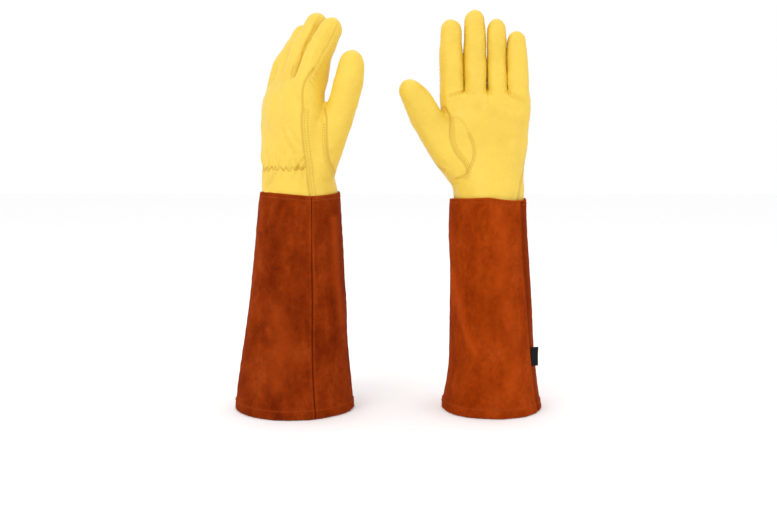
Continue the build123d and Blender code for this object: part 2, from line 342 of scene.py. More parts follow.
def fused(forms):
    """One even quad skin over several closed forms, as arrays of points and faces."""
    points, faces, start = [], [], 0
    for form_points, form_faces in forms:
        points.append(form_points)
        faces += [[start + corner for corner in face] for face in form_faces]
        start += len(form_points)
    piece = shown("forms", mesh_of("forms", np.concatenate(points), faces))
    remesh = piece.modifiers.new("skin", "REMESH")
    remesh.mode, remesh.voxel_size, remesh.adaptivity = "VOXEL", VOXEL, 0.0
    mesh = piece.evaluated_get(bpy.context.evaluated_depsgraph_get()).to_mesh()
    skin_points = np.zeros(len(mesh.vertices) * 3, np.float32)
    mesh.vertices.foreach_get("co", skin_points)
    corners = np.zeros(len(mesh.loops), np.int32)
    mesh.loops.foreach_get("vertex_index", corners)
    quads = corners.reshape(-1, 4)
    old = piece.data
    bpy.data.objects.remove(piece)
    bpy.data.meshes.remove(old)
    return skin_points.reshape(-1, 3).astype(float), quads.astype(int)


class Skin:
    """A closed quad surface whose points are at rest in a glove's own frame."""

    def __init__(self, points, faces):
        self.points, self.faces = points, faces
        self.grown = (None, None)
        self.edges = np.unique(np.sort(sides_of(faces), axis=1), axis=0)
        self.count = np.bincount(self.edges.ravel(), minlength=len(points)).astype(float)

    def spread(self, values):
        """The mean of each point's neighbours."""
        a, b = self.edges.T
        columns = [np.bincount(a, v[b], len(v)) + np.bincount(b, v[a], len(v)) for v in values.T]
        return np.stack(columns, 1) / self.count[:, None]

    def blur(self, rounds, near=1.0, share=0.5):
        for _ in range(rounds):
            moved = self.spread(self.points) - self.points
            self.points = self.points + share * near * moved

    def normals(self, points=None):
        points = self.points if points is None else points
        a, b, c, d = (points[self.faces[:, k]] for k in range(4))
        flat = np.cross(c - a, d - b)
        total = np.zeros_like(points)
        for k in range(4):
            for axis in range(3):
                total[:, axis] += np.bincount(self.faces[:, k], flat[:, axis], len(points))
        return unit(total)

    def tree(self):
        """For finding places on the skin. It is made again only when the points have changed."""
        if self.grown[0] is not self.points:
            self.grown = (self.points, BVHTree.FromPolygons(self.points.tolist(), self.faces.tolist()))
        return self.grown[1]


def capsule_rows(rows, thickness, gap=0.35):
    """Stitches along rows. A row is its points, its normals and its pitch."""
    points, faces, start = [], [], 0
    around = np.linspace(0, 2 * math.pi, 6, endpoint=False)
    along = np.array([-1.0, -0.86, -0.45, 0.45, 0.86, 1.0])
    girth = np.array([0.25, 0.75, 1.0, 1.0, 0.75, 0.25])
    sink = np.array([-0.8, -0.35, 0.1, 0.1, -0.35, -0.8])
    here, after = np.arange(6), (np.arange(6) + 1) % 6
    for line, normals, pitch in rows:
        centres = spaced(np.column_stack([line, normals]), pitch)
        ways = unit(np.gradient(centres[:, :3], axis=0))
        for centre, way in zip(centres, ways):
            up = unit(centre[3:] - way * (centre[3:] @ way))
            side = np.cross(way, up)
            for place, width, low in zip(along, girth, sink):
                middle = centre[:3] + way * place * pitch * (0.5 - gap / 2) + up * low * thickness
                ring = (np.cos(around)[:, None] * side * 1.1 + np.sin(around)[:, None] * up)
                points.append(middle + ring * width * thickness / 2)
            for layer in range(len(along) - 1):
                low, high = start + layer * 6, start + layer * 6 + 6
                faces += np.stack([low + here, high + here, high + after, low + after], 1).tolist()
            faces.append((start + here).tolist())
            faces.append((start + 6 * (len(along) - 1) + here[::-1]).tolist())
            start += 6 * len(along)
    return np.concatenate(points), faces


# ---- materials
class Surface:
    """A procedural material. Its patterns are laid out in millimetres of the piece at rest."""

    def __init__(self, name, **inputs):
        self.material = bpy.data.materials.new(name)
        self.material.use_nodes = True
        self.tree = self.material.node_tree
        self.shader = self.tree.nodes["Principled BSDF"]
        self.shader.inputs["Sheen Roughness"].default_value = 0.5
        for socket, value in inputs.items():
            self.shader.inputs[socket.replace("_", " ")].default_value = value
        self.rest = self.attribute("rest", "Vector")

    def attribute(self, name, output="Fac"):
        node = self.tree.nodes.new("ShaderNodeAttribute")
        node.attribute_name = name
        return node.outputs[output]

    def pattern(self, kind, size, stretch=(1, 1, 1), **inputs):
        """A texture whose lumps are about this many millimetres across."""
        mapping = self.tree.nodes.new("ShaderNodeMapping")
        mapping.inputs["Scale"].default_value = [1 / (size * s) for s in stretch]
        self.tree.links.new(self.rest, mapping.inputs["Vector"])
        node = self.tree.nodes.new(kind)
        for socket, value in {"Scale": 1.0, **inputs}.items():
            node.inputs[socket].default_value = value
        self.tree.links.new(mapping.outputs["Vector"], node.inputs["Vector"])
        return node.outputs

    def noise(self, size, detail=3.0, stretch=(1, 1, 1), roughness=0.55):
        return self.pattern("ShaderNodeTexNoise", size, stretch, Detail=detail, Roughness=roughness)["Fac"]

    def cells(self, size):
        """Small rounded cells, like the grain of leather."""
        return self.pattern("ShaderNodeTexVoronoi", size)["Distance"]

    def ramp(self, source, *stops):
        """Colours or greys against a value. A stop is its place and then its colour."""
        node = self.tree.nodes.new("ShaderNodeValToRGB")
        while len(node.color_ramp.elements) < len(stops):
            node.color_ramp.elements.new(0.5)
        for element, (place, colour) in zip(node.color_ramp.elements, stops):
            element.position = place
            element.color = (*colour, 1) if isinstance(colour, tuple) else (colour, colour, colour, 1)
        self.tree.links.new(source, node.inputs["Fac"])
        return node.outputs["Color"]

    def mixed(self, kind, first, second, share=1.0):
        """Two colours blended; the second and the share are fixed or vary."""
        node = self.tree.nodes.new("ShaderNodeMix")
        node.data_type, node.blend_type = "RGBA", kind
        self.tree.links.new(first, node.inputs[6])
        for socket, value in ((node.inputs[0], share), (node.inputs[7], second)):
            if isinstance(value, bpy.types.NodeSocket):
                self.tree.links.new(value, socket)
            else:
                socket.default_value = (*value, 1) if isinstance(value, tuple) else value
        return node.outputs[2]

    def into(self, socket, source):
        self.tree.links.new(source, self.shader.inputs[socket])

    def bumps(self, *layers):
        """Relief: each layer is a pattern, its strength and its depth in millimetres."""
        normal = None
        for source, strength, depth in layers:
            node = self.tree.nodes.new("ShaderNodeBump")
            node.inputs["Strength"].default_value = strength
            node.inputs["Distance"].default_value = depth * MM
            self.tree.links.new(source, node.inputs["Height"])
            if normal is not None:
                self.tree.links.new(normal, node.inputs["Normal"])
            normal = node.outputs["Normal"]
        self.into("Normal", normal)


def leather(name, base, shade, roughness=0.45):
    """Smooth grain leather, with painted shade in its seams, stitch rows, creases and hollows."""
    surface = Surface(name, Roughness=roughness)
    pale = tuple(min(1.0, channel * 1.03) for channel in base)
    body = surface.ramp(surface.noise(30, 4), (0.3, shade), (0.52, base), (0.72, pale))
    fine = surface.ramp(surface.noise(1.7, 4), (0.3, 0.95), (0.65, 1.0))
    body = surface.mixed("MULTIPLY", body, fine)
    # Painted shade: the leather is mixed towards a darker colour in its seams, stitch rows, creases,
    # gathers and hollows.
    painted_shade_colour = tuple(c * k for c, k in zip(shade, (0.76, 0.68, 0.5)))
    surface.into("Base Color", surface.mixed("MIX", body, painted_shade_colour, surface.attribute("painted_shade")))
    polish = surface.ramp(surface.noise(9, 3), (0.3, roughness - 0.05), (0.7, roughness + 0.1))
    surface.into("Roughness", polish)
    surface.bumps((surface.noise(5.5, 3), 0.35, 0.5), (surface.cells(0.85), 0.22, 0.16),
                  (surface.noise(0.45, 2), 0.18, 0.08))
    return surface.material


def suede(name, base, dark, pale):
    """Split suede: matt, cloudy, with soft streaks and short fibres, painted shade at its seams, lighter
    wear at its edges and painted highlight on its folds.
    """
    surface = Surface(name, Roughness=0.95, Sheen_Weight=0.12, Sheen_Tint=(*pale, 1),
                      Specular_IOR_Level=0.03)
    body = surface.ramp(surface.noise(30, 6, stretch=(1, 1, 1.5), roughness=0.62),
                        (0.32, dark), (0.52, base), (0.7, pale))
    streaks = surface.ramp(surface.noise(5, 4, stretch=(1, 1, 3)), (0.3, 0.93), (0.68, 1.05))
    flecks = surface.ramp(surface.noise(5.5, 5, roughness=0.7), (0.32, 0.8), (0.68, 1.1))
    fibres = surface.ramp(surface.noise(0.55, 3, roughness=0.7), (0.3, 0.8), (0.7, 1.14))
    for layer in (streaks, flecks, fibres):
        body = surface.mixed("MULTIPLY", body, layer)
    # Painted shade at the seams and on the strip beside the tucked edge.
    body = surface.mixed("MIX", body, tuple(c * 0.45 for c in dark), surface.attribute("painted_shade"))
    # Lighter where worn at the edges and stitches, and painted highlight on the seam rolls and fold crests.
    body = surface.mixed("MIX", body, tuple(min(1, c * 1.35) for c in pale), surface.attribute("worn"))
    surface.into("Base Color", body)
    surface.bumps((surface.noise(8, 4), 0.5, 0.7), (surface.noise(0.9, 4, roughness=0.7), 0.5, 0.35),
                  (surface.noise(0.3, 2), 0.35, 0.12))
    return surface.material


def thread(name, base, dark):
    """Twisted thread."""
    surface = Surface(name, Roughness=0.8, Specular_IOR_Level=0.1)
    surface.into("Base Color", surface.ramp(surface.noise(0.5, 2), (0.35, dark), (0.6, base)))
    surface.bumps((surface.noise(0.25, 2), 0.4, 0.1))
    return surface.material


def tape(name, base, dark, rib):
    """Woven or knitted tape with fine ribs across it."""
    surface = Surface(name, Roughness=0.85, Sheen_Weight=0.02, Specular_IOR_Level=0.25)
    surface.into("Base Color", surface.ramp(surface.noise(1.2, 3), (0.35, dark), (0.65, base)))
    surface.bumps((surface.noise(rib, 1, stretch=(3, 3, 0.5)), 0.6, 0.3),
                  (surface.noise(0.2, 1), 0.3, 0.08))
    return surface.material


YELLOW, YELLOW_SHADE = (0.795, 0.545, 0.055), (0.76, 0.51, 0.049)
MATERIALS = {
    "leather": leather("yellow leather", YELLOW, YELLOW_SHADE),
    "leather_thread": thread("yellow thread", (0.7, 0.44, 0.048), (0.48, 0.28, 0.03)),
    "glove_a_suede": suede("dark rust suede", (0.234, 0.0275, 0.002), (0.143, 0.0135, 0.001),
                           (0.31, 0.0445, 0.005)),
    "glove_b_suede": suede("rust suede", (0.325, 0.0405, 0.002), (0.24, 0.0255, 0.001),
                           (0.392, 0.055, 0.005)),
    "suede_thread": thread("rust thread", (0.36, 0.066, 0.012), (0.24, 0.036, 0.005)),
    "elastic": tape("cream elastic", (0.75, 0.7, 0.6), (0.6, 0.55, 0.45), 0.5),
    "black_tape": tape("black woven tape", (0.006, 0.006, 0.007), (0.002, 0.002, 0.0025), 0.4),
}


# ---- seams and creases
# Seams that both hands have, as seen from the little finger's side and from the palm
LITTLE_SEAM = [(2, 354), (1, 335), (0, 310), (-3, 285), (-10, 266), (-20, 251), (-25, 236), (-26, 222)]
PATCH_SEAM = [(-39, 325), (-33, 325), (-27.5, 321), (-23, 314), (-19.6, 306), (-17, 299.9),
              (-14.8, 289.7), (-16, 279.4), (-19.2, 272.4), (-22.6, 265.5)]
WEB_SEAM = [(-4.6, 379), (-4.4, 369), (-3, 363.5), (0, 362), (3, 363.5), (4.4, 369), (4.6, 379)]
INDEX_SEAM = [(0, 141), (10, 144), (20, 150), (32, 164), (45, 176), (90, 178)]
SEAM_DEPTHS = {"palm_groove": 0.85, "side_groove": 0.9, "side_seam": 0.8, "little_seam": 0.7,
               "patch_seam": 0.35}
STITCHED = [("side_seam", (2.8, 6.2), (0, -1, 0), 222, 334),
            ("palm_groove", (2.4, 4.4), (1, 0, 0), 262, 326),
            ("side_groove", (2.4, 4.4), (.819, .574, 0), 259, 318),
            ("patch_seam", (-1.2, 1.4), (1, 0, 0), 267, 309),
            ("little_seam", (2.4,), (0, -1, 0), 224, 330)]
STITCH_PITCH = 3.0
THREAD = 0.75
ZIGZAG_SEED = 5

# Elastic in the back of the wrist: arc in degrees, one zigzag in degrees, height and rise
GATHER_ARC = (164.0, 14.0)
GATHER_PITCH = 10.6
GATHER_HEIGHT = 270.0
GATHER_RISE = 2.2

# Creases: from where they are seen, their points, width and depth. Both backs have the first.
BACK_CREASES = [
    (FROM_BACK, [(-22, 284), (-19, 277), (-17, 271)], 1.7, 0.6),
    (FROM_BACK, [(-4, 292), (0, 283), (3, 274)], 2.2, 0.6),
    (FROM_BACK, [(14, 286), (17, 278), (19, 272)], 1.8, 0.6),
]
CREASES = {
    "glove_a": [
        (FROM_SIDE, [(-11.4, 311), (-5.3, 297), (1.7, 287)], 2.6, 0.95),
        (FROM_SIDE, [(-4.4, 312.5), (3.3, 302), (9.2, 296)], 2.2, 0.7),
        (FROM_SIDE, [(12, 281), (6.8, 275), (3, 270)], 1.5, 0.8),
        (FROM_SIDE, [(13.5, 277), (9.6, 270)], 1.2, 0.5),
        (FROM_SIDE, [(-15.7, 280), (-17.4, 274), (-18.8, 270)], 1.6, 0.6),
        (FROM_SIDE, [(-22.7, 265), (-25.3, 259), (-31, 251)], 2.4, 0.8),
    ],
    "glove_b": [
        (FROM_PALM, [(-42, 348.7), (-34, 351.5), (-26, 355)], 1.7, 1.1),
        (FROM_PALM, [(-23.5, 354), (-19, 352.5), (-14.5, 351)], 1.5, 0.5),
        (FROM_PALM, [(26.5, 353), (35, 348), (44, 343.5)], 2.4, 1.2),
        (FROM_PALM, [(18.6, 324.5), (31, 321.5), (41, 319)], 4.0, 1.1),
        (FROM_PALM, [(14, 300), (28, 303), (42, 301)], 3.4, 0.45),
        (FROM_PALM, [(6, 283), (20, 286), (36, 282)], 3.4, 0.4),
        (FROM_PALM, [(1.5, 354), (2.5, 347), (1, 341)], 1.4, 0.4),
        (FROM_BACK, [(26, 312), (18, 299), (12, 289)], 2.6, 0.8),
    ],
}
# Soft hollows: from where, their place, size and depth
HOLLOWS = {
    "glove_a": [(FROM_SIDE, (-26.0, 358.0), 7.0, 1.2), (FROM_SIDE, (-27.0, 256.0), 6.0, 0.8),
                (FROM_PALM, (2.0, 312.0), 20.0, 2.2)],
    "glove_b": [(FROM_PALM, (-7.3, 336.6), 7.0, 2.2), (FROM_PALM, (7.3, 328.4), 7.0, 2.0),
                (FROM_PALM, (2.0, 308.0), 20.0, 1.8), (FROM_PALM, (-30.0, 344.0), 5.0, 0.9)],
}

# Pieces of leather: the part of the hand, its name and the CAD node that it stands for
PIECES = {
    "palm": ("palm_leather", "palm_panel"),
    "back": ("back_leather", "back_panel"),
    "patch": ("keystone_patch", "thumb_patch"),
    "gusset": ("thumb_gusset_leather", "thumb_gusset"),
    "thumb_lower": ("thumb_lower_leather", "thumb_lower"),
    "thumb_tip": ("thumb_tip_leather", "thumb_tip"),
}
for finger_name in FINGERS:
    for part in ("lower_front", "lower_back", "tip_front", "tip_back"):
        PIECES[f"{finger_name}_{part}"] = (f"{finger_name}_{part}_leather", f"{finger_name}_{part}")
    PIECES[f"{finger_name}_side"] = (f"{finger_name}_side_strips", f"{finger_name}_sidewalls")



# ---- the hand of a glove
class Hand:
    """The leather hand of one glove: its form, its seams, its pieces and how it is posed."""

    def __init__(self, name, shape):
        self.name, self.shape = name, shape
        wrist = JOINTS[f"{name}_wrist"]
        turn = math.atan2(wrist["axis"][1], wrist["axis"][0])
        self.turn = np.array([[math.cos(turn), -math.sin(turn), 0],
                              [math.sin(turn), math.cos(turn), 0], [0, 0, 1]])
        hinge = np.array(wrist["pos_m"]) / MM
        self.place = hinge - self.turn @ np.array([*shape["wrist"], hinge[2]])
        self.fingers = {finger: self.finger(finger) for finger in FINGERS}
        self.thumb = self.thumb_path()
        fingers = [self.finger_form(finger) for finger in FINGERS]
        self.skin = Skin(*fused([self.hand_form(), *fingers, self.thumb_form()]))
        self.skin.blur(6)
        self.blur_thumb_root()
        self.blur_webs()
        self.rest = self.skin.points.copy()

    # Places
    def local(self, world):
        return (np.asarray(world, float) / MM - self.place) @ self.turn

    def world(self, points):
        return (points @ self.turn.T + self.place) * MM

    def joint(self, part):
        return self.local(JOINTS[f"{self.name}_{part}"]["pos_m"])

    def far_end(self, node, start):
        """The point of a CAD node that is farthest from start."""
        points = self.local([v.co for v in frame["nodes"][f"{self.name}_{node}"].data.vertices])
        return points[np.argmax(np.linalg.norm(points - start, axis=1))]

    def finger(self, finger):
        """A finger's hinges and bends, as they are at rest in the frame."""
        base, middle = self.joint(f"{finger}_knuckle"), self.joint(f"{finger}_middle_joint")
        tip = self.far_end(f"{finger}_tip_back", middle)
        lower, upper = middle - base, tip - middle
        x, lean = SPREAD[finger]
        lean = math.radians(lean)
        *girth, shift, bend, tilt, longer = self.shape["fingers"][finger]
        return {
            "base": base, "spread_base": np.array([x, base[1], base[2]]),
            "along": np.array([math.sin(lean), 0, math.cos(lean)]),
            "across": np.array([math.cos(lean), 0, -math.sin(lean)]),
            "lower": np.linalg.norm(lower), "upper": np.linalg.norm(upper) + longer,
            "knuckle_bend": math.asin(-unit(lower)[1]) + math.radians(bend),
            "middle_bend": math.acos(np.clip(unit(lower) @ unit(upper), -1, 1)),
            "lean_change": math.atan2(lower[0], lower[2]) - lean + math.radians(tilt),
            "shift": np.array([*shift, 0]),
            "way": unit(lower), "middle": middle, "girth": girth,
        }

    def thumb_path(self):
        base, joint = self.joint("thumb_base"), self.joint("thumb_joint")
        tip = self.far_end("thumb_tip", joint)
        tip = tip - unit(tip - joint) * self.shape["thumb_trim"]
        root = np.array(self.shape["thumb_root"])
        between = root * 0.5 + base * 0.5
        stops = np.array([root, between, base, joint, tip])
        reach = reach_along(stops)
        girth = np.array(self.shape["thumb_girth"])
        bow = np.array([0, 0, 0, .3, 1.0]) * self.shape["thumb_bow"]
        stops = stops - bow[:, None] * np.array([0, 1, 0])
        stops[2:, :2] += self.shape["thumb_shift"]
        return {"base": base, "joint": joint, "tip": tip, "way": unit(joint - base),
                "lower": np.linalg.norm(joint - base),
                "keys": np.column_stack([reach, stops, girth]), "length": reach[-1]}

    # Form
    def hand_form(self):
        keys = self.shape["hand"]
        rings = []
        for height in np.arange(keys[0][0], keys[-1][0] + 0.1, RING_STEP):
            x, y, width, depth, power = through(keys, height)[0]
            outline = squircle(width / 2, depth / 2, power, 96)
            spread = 2.2 * ease(height, 326, 350) * np.abs(outline[:, 0]) / (width / 2)
            outline[:, 0] += np.sign(outline[:, 0]) * spread
            lift = WEB_SLOPE * outline[:, 1] * ease(height, 325, keys[-1][0])
            rings.append(np.column_stack([outline + (x, y), height + lift]))
        return lofted(rings)

    def finger_form(self, name):
        finger = self.fingers[name]
        base_girth, middle_girth, tip_girth, deeper = finger["girth"]
        lower, length = finger["lower"], finger["lower"] + finger["upper"]
        dome = tip_girth * DOME
        keys = [(-FINGER_ROOT, base_girth - 1.5, base_girth + 1, 2.3),
                (0, base_girth, base_girth + deeper, 2.4),
                (lower, middle_girth, middle_girth + deeper * .35, 2.3),
                (length - dome, tip_girth + .5, tip_girth + deeper * .2, 2.25),
                (length, tip_girth, tip_girth, 2.1)]
        rings = []
        for place in domed(-FINGER_ROOT, length, dome):
            half_width, half_depth, power = through(keys, place)[0]
            close = closing(place, length, dome)
            outline = squircle(half_width * close, half_depth * close, power, 48)
            outline[:, 1] -= FINGER_BOW * (max(place, 0) / length) ** 2
            rings.append(finger["spread_base"] + finger["along"] * place
                         + outline[:, :1] * finger["across"] + outline[:, 1:] * np.array([0, 1, 0]))
        return lofted(rings)

    def thumb_form(self):
        keys, length = self.thumb["keys"], self.thumb["length"]
        dome = keys[-1][4] * DOME
        places = domed(0, length, dome)
        centres = through(keys, places)
        ways = unit(np.gradient(centres[:, :3], places, axis=0))
        rings = []
        for place, row, way in zip(places, centres, ways):
            across = unit(np.cross(np.array([0, 1.0, 0]), way))
            out = np.cross(way, across)
            close = closing(place, length, dome)
            outline = squircle(row[3] * close, row[4] * close, 2.2, 56)
            rings.append(row[:3] + outline[:, :1] * across + outline[:, 1:] * out)
        return lofted(rings)

    def blur_thumb_root(self):
        """The thumb's root runs softly into the palm and the back."""
        middle = self.thumb["keys"][1][1:4]
        height = self.skin.points[:, 2]
        near = bell(np.linalg.norm(self.skin.points - middle, axis=1), 42.0)
        near *= ease(height, 236, 256) * (1 - ease(height, 314, 332))
        self.skin.blur(60, near[:, None], share=0.55)

    def blur_webs(self):
        """The fingers' roots run softly into the palm and the back."""
        _, y, height = self.skin.points.T
        level = height - WEB_HEIGHT - WEB_SLOPE * (y - self.shape["wrist"][1])
        self.skin.blur(16, bell(level, 8.0)[:, None])

    # Regions
    def shares(self, points):
        """How far each finger's own pose reaches at a point, which adds up to 1."""
        lines = []
        for left, right in zip(FINGERS, FINGERS[1:]):
            edges = []
            for finger in (self.fingers[left], self.fingers[right]):
                rise = (points[:, 2] - finger["spread_base"][2]) * finger["along"][0]
                edges.append(finger["spread_base"][0] + rise)
            lines.append((edges[0] + edges[1]) / 2)
        below = WEB_SPLIT + WEB_SLOPE * points[:, 1] - points[:, 2]
        half = np.where(below > 0, 2.6 + 0.7 * below, np.maximum(2.6 + below * 0.2, 0.2))
        passed = [np.clip((points[:, 0] - line) / (2 * half) + 0.5, 0, 1) for line in lines]
        return np.stack([1 - passed[0], passed[0] - passed[1], passed[1] - passed[2], passed[2]], 1)

    def thumbness(self, points):
        """1 on the free thumb and 0 on the hand and the index finger."""
        line = through(self.thumb["keys"], np.linspace(0, self.thumb["length"] - 8, 40))
        gap = np.linalg.norm(points[:, None, :] - line[None, :, :3], axis=2) / line[:, 3]
        index = self.fingers["index"]
        rest = points - index["spread_base"]
        off = rest - (rest @ index["along"])[:, None] * index["along"]
        hand = np.linalg.norm(off, axis=1) / 14.0
        near = 1 - ease(gap.min(1), 1.5, 1.9)
        return near * ease(hand - gap.min(1), -0.06, 0.06) * ease(points[:, 2], 322, 330)

    # Pose
    def finger_posed(self, points, name):
        finger = self.fingers[name]
        base = finger["spread_base"]
        place = (points - base) @ finger["along"]
        middle = base + finger["along"] * finger["lower"]
        reach = ease(place, *FINGER_REACH)
        bent = swung(points, middle, finger["across"],
                     finger["middle_bend"] * ease(place - finger["lower"], *MIDDLE_REACH))
        bent = swung(bent, base, finger["across"], finger["knuckle_bend"] * reach)
        bent = swung(bent, base, (0, 1, 0), finger["lean_change"] * reach)
        return bent + (finger["base"] + finger["shift"] - base) * reach[:, None]

    def posed(self, points):
        """Points of the straight, spread hand where they are in the frame at rest."""
        share = self.shares(points) * (1 - self.thumbness(points))[:, None]
        moved = points.copy()
        for column, name in enumerate(FINGERS):
            moved += share[:, column:column + 1] * (self.finger_posed(points, name) - points)
        return moved

    # Seams
    def laid(self, view, points, step=0.8):
        """A line drawn on the skin as seen from a direction: its points and its normals."""
        across, away = (np.array([*way, 0.0]) for way in view)
        line = smooth_line(points, step)
        tree = self.skin.tree()
        found, normals = [], []
        for reach, height in line:
            start = across * reach + np.array([0, 0, height]) - away * 150
            hit = tree.ray_cast(Vector(start), Vector(away))
            if hit[0] is not None:
                found.append(hit[0])
                normals.append(hit[1])
        return np.array(found), np.array(normals)

    def snapped(self, points):
        """The nearest points and normals of the skin."""
        tree = self.skin.tree()
        hits = [tree.find_nearest(Vector(p)) for p in points]
        return np.array([h[0] for h in hits]), np.array([h[1] for h in hits])

    def beside(self, line, normals, offset):
        """A line on the skin at a distance to the right of another."""
        ways = unit(np.gradient(line, axis=0))
        return self.snapped(line + np.cross(ways, normals) * offset)

    def distance(self, line):
        """How far each point of the skin is from a line, and how far along the line that is."""
        tree = KDTree(len(line))
        for number, point in enumerate(line):
            tree.insert(point, number)
        tree.balance()
        low, high = line.min(0) - 14, line.max(0) + 14
        near = np.flatnonzero(((self.skin.points > low) & (self.skin.points < high)).all(1))
        gaps = np.full(len(self.skin.points), 99.0)
        places = np.zeros(len(self.skin.points))
        reach = reach_along(line)
        for number in near:
            _, found, gap = tree.find(self.skin.points[number])
            gaps[number], places[number] = gap, reach[found]
        return gaps, places

    # Sculpting
    def seam_lines(self):
        """The seams of the hand, each as its points and normals on the skin."""
        shape = self.shape
        return {
            "palm_groove": self.laid(FROM_PALM, shape["palm_groove"]),
            "side_groove": self.laid(FROM_SIDE, shape["side_groove"]),
            "side_seam": self.laid(FROM_SIDE, SIDE_SEAM),
            "little_seam": self.laid(FROM_LITTLE, LITTLE_SEAM),
            "patch_seam": self.laid(FROM_PALM, PATCH_SEAM),
        }

    def thread_rows(self):
        """Rows of stitches beside the seams: points and normals."""
        rows = []
        for seam, offsets, toward, low, high in STITCHED:
            line, normals = self.lines[seam]
            keep = (line[:, 2] > low) & (line[:, 2] < high)
            line, normals = line[keep], normals[keep]
            side = np.cross(unit(np.gradient(line, axis=0)), normals)
            sign = math.copysign(1.0, (side @ np.array(toward)).mean())
            rows += [self.beside(line, normals, sign * offset) for offset in offsets]
        rows.append(self.zigzag)
        return rows

    def round_wrist(self, angles, heights):
        """Points of the skin at angles about the wrist's own middle, in degrees."""
        tree = self.skin.tree()
        middle = through(self.shape["hand"], heights.mean())[0][:2]
        found, normals = [], []
        for angle, height in zip(np.radians(angles), heights):
            way = np.array([math.cos(angle), math.sin(angle), 0])
            hit = tree.ray_cast(Vector((*middle, height)) + Vector(way) * 150, Vector(-way))
            found.append(hit[0])
            normals.append(hit[1])
        return np.array(found), np.array(normals)

    def elastic_zigzag(self):
        """The zigzag of stitches that holds the elastic inside the back of the wrist."""
        random = np.random.default_rng(ZIGZAG_SEED)
        angles = np.arange(GATHER_ARC[0], GATHER_ARC[1], -1.0)
        turns = (angles[0] - angles) / GATHER_PITCH
        corners = np.arange(int(turns[-1] * 2) + 2)
        jitter = random.uniform(-0.12, 0.12, len(corners))
        wave = np.interp(turns, corners / 2 + jitter, np.where(corners % 2, -1.0, 1.0))
        return self.round_wrist(angles, GATHER_HEIGHT + GATHER_RISE * wave)

    def sculpt(self):
        """Presses the seams, gathers, creases and soft folds into the skin, and paints shade into its
        grooves and hollows.
        """
        points, normals = self.skin.points, self.skin.normals()
        self.zigzag = self.elastic_zigzag()
        self.lines = self.seam_lines()
        self.rows = self.thread_rows()
        height = 0.45 * ripple(points, 11, 34) + 0.22 * ripple(points, 12, 15)
        height += 0.1 * ripple(points, 13, 7)
        painted_shade = np.zeros(len(points))

        for seam, depth in SEAM_DEPTHS.items():
            gap, place = self.distance(self.lines[seam][0])
            pucker = 0.6 + 0.4 * np.sin(place * 2 * math.pi / 8.5 + 2 * np.sin(place / 13))
            height += depth * (0.35 * pucker * bell(gap - 3.4, 1.9) - bell(gap, 1.15))
            # painted shade in the seam's groove
            painted_shade += depth * bell(gap, 1.3)
        gap = np.full(len(points), 99.0)
        for line, _ in self.rows:
            gap = np.minimum(gap, self.distance(line)[0])
        height -= 0.16 * bell(gap, 0.9)
        # painted shade beside the stitch rows
        painted_shade += 0.26 * bell(gap, 0.9)

        for view, line, width, depth in CREASES[self.name] + BACK_CREASES:
            gap, _ = self.distance(self.laid(view, line)[0])
            height += depth * (0.45 * bell(gap - 2.1 * width, 1.1 * width) - bell(gap, width))
            # painted shade in the crease
            painted_shade += 0.5 * min(depth, 1.0) / max(width, 1.2) * bell(gap, width)
        for view, (across, up), size, depth in HOLLOWS[self.name]:
            way, away = (np.array([*part, 0.0]) for part in view)
            off = np.hypot(points @ way - across, points[:, 2] - up)
            hollow = depth * bell(off, size) * ease(-(normals @ away), -0.1, 0.4)
            height -= hollow
            # painted shade in the hollow
            painted_shade += 0.09 * hollow

        # dark and marks are painted shade in the elastic's groove and the fingers' seams
        gathers, dark = self.gathers(points)
        seams, marks = self.finger_seams(points)
        self.skin.points = points + (height + gathers + seams)[:, None] * normals
        # The painted shade of the seams, stitches, creases, hollows, gathers and fingers' seams together
        self.painted_shade = np.clip(painted_shade + dark + marks, 0, 1)

    def gathers(self, points):
        """Puckers above and below the zigzag of the elastic, and painted shade in its groove."""
        middle = through(self.shape["hand"], GATHER_HEIGHT)[0][:2]
        angle = np.degrees(np.arctan2(points[:, 1] - middle[1], points[:, 0] - middle[0]))
        on_back = ease(angle, GATHER_ARC[1] - 8, GATHER_ARC[1] + 6)
        on_back *= 1 - ease(angle, GATHER_ARC[0] - 4, GATHER_ARC[0] + 4)
        turns = (GATHER_ARC[0] - angle) / GATHER_PITCH
        wander = 0.35 * np.sin(points[:, 2] / 9.0 + angle / 17.0)
        wave = np.cos(2 * math.pi * (turns + wander))
        slow = 0.6 + 0.4 * np.sin(angle / 7.0 + points[:, 2] / 15.0)
        above = np.where(points[:, 2] > GATHER_HEIGHT, 15.0, 11.0)
        near = bell(points[:, 2] - GATHER_HEIGHT, above) * on_back
        gap, _ = self.distance(self.zigzag[0])
        groove = bell(gap, 1.2) * on_back
        waist = 1.6 * bell(points[:, 2] - GATHER_HEIGHT, 9.0) * on_back
        # The second value is painted shade in the zigzag's groove.
        return near * slow * wave - 0.8 * groove - waist, 0.22 * groove

    def finger_seams(self, points):
        """Grooves along the fingers' side strips, and round the web between them, with painted shade in
        them.
        """
        height, dark = np.zeros(len(points)), np.zeros(len(points))
        free = 1 - self.thumbness(points)
        nearest = self.shares(points).argmax(1)
        for number, name in enumerate(FINGERS):
            place, angle, radius = self.on_finger(points, name)
            length = self.fingers[name]["lower"] + self.fingers[name]["upper"]
            mine = (nearest == number) * free
            shown = mine * ease(place, 3, 9) * (1 - ease(place, length - 8, length - 2))
            for line in self.strip_edges(name, place):
                if line is None:
                    continue
                gap = np.radians(np.abs((angle - line + 180) % 360 - 180)) * radius
                height += shown * (0.14 * bell(gap - 2.6, 1.5) - 0.42 * bell(gap, 0.95))
